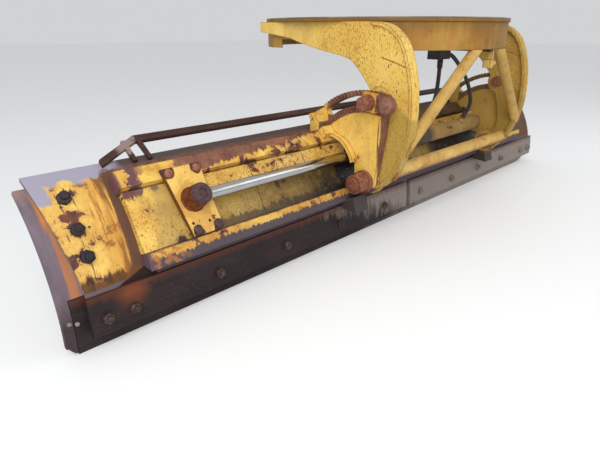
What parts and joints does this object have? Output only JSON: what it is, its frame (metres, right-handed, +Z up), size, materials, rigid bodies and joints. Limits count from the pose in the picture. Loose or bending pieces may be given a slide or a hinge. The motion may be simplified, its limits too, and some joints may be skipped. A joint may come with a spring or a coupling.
{
  "type": "grader blade assembly",
  "caption": "Curved scraper blade hung from a toothed circle by two arms, with serrated tip quadrants and a side-shift cylinder.",
  "frame": {"origin": "centre of the circle's flange, on the circle's top face", "axes": "+X to the machine's right along the blade, +Y to the machine's front, +Z up along the circle's axis"},
  "size_m": [3.107, 1.116, 0.8801],
  "materials": {
    "yellow_paint": "faded, chipped and rust-streaked",
    "worn_steel": "worn and rusty",
    "rusty_steel": "rusted",
    "chrome_rod": "polished",
    "black_rubber": "matt"
  },
  "bodies": {
    "circle_frame": {"circle_ring": "yellow_paint", "arm_left": "yellow_paint", "arm_right": "yellow_paint", "cross_tube": "yellow_paint", "brace_left": "yellow_paint", "brace_right": "yellow_paint", "brace_lug": "yellow_paint", "pivot_pin_left": "rusty_steel", "pivot_pin_right": "rusty_steel", "clamp_bolt_left": "rusty_steel", "clamp_bolt_right": "rusty_steel", "clamp_keeper_left": "rusty_steel", "clamp_keeper_right": "rusty_steel", "manifold": "black_rubber", "hose_a": "black_rubber", "hose_b": "black_rubber"},
    "tip_carrier": {"quadrant_left": "yellow_paint", "quadrant_right": "yellow_paint", "cylinder_barrel": "yellow_paint", "cylinder_gland": "rusty_steel"},
    "blade": {"blade_plate": "yellow_paint", "edge_left": "worn_steel", "edge_right": "worn_steel", "back_strip_left": "worn_steel", "back_strip_right": "worn_steel", "end_plate_left": "worn_steel", "end_plate_right": "worn_steel", "upper_rail": "yellow_paint", "lower_rail": "yellow_paint", "back_plate": "yellow_paint", "anchor_plate": "yellow_paint", "ball_stud": "rusty_steel", "rod_eye": "rusty_steel", "piston_rod": "chrome_rod", "top_guard": "rusty_steel"}
  },
  "joints": [
    {"name": "tip_hinge", "type": "hinge", "parent": "circle_frame", "child": "tip_carrier", "pos_m": [0, -0.349, -0.606], "axis": [1, 0, 0], "range_deg": [0, 40], "deforming": ["hose_a", "hose_b"]},
    {"name": "side_shift", "type": "slide", "parent": "tip_carrier", "child": "blade", "axis": [1, 0, 0], "range_m": [-0.22, 0.55]}
  ]
}
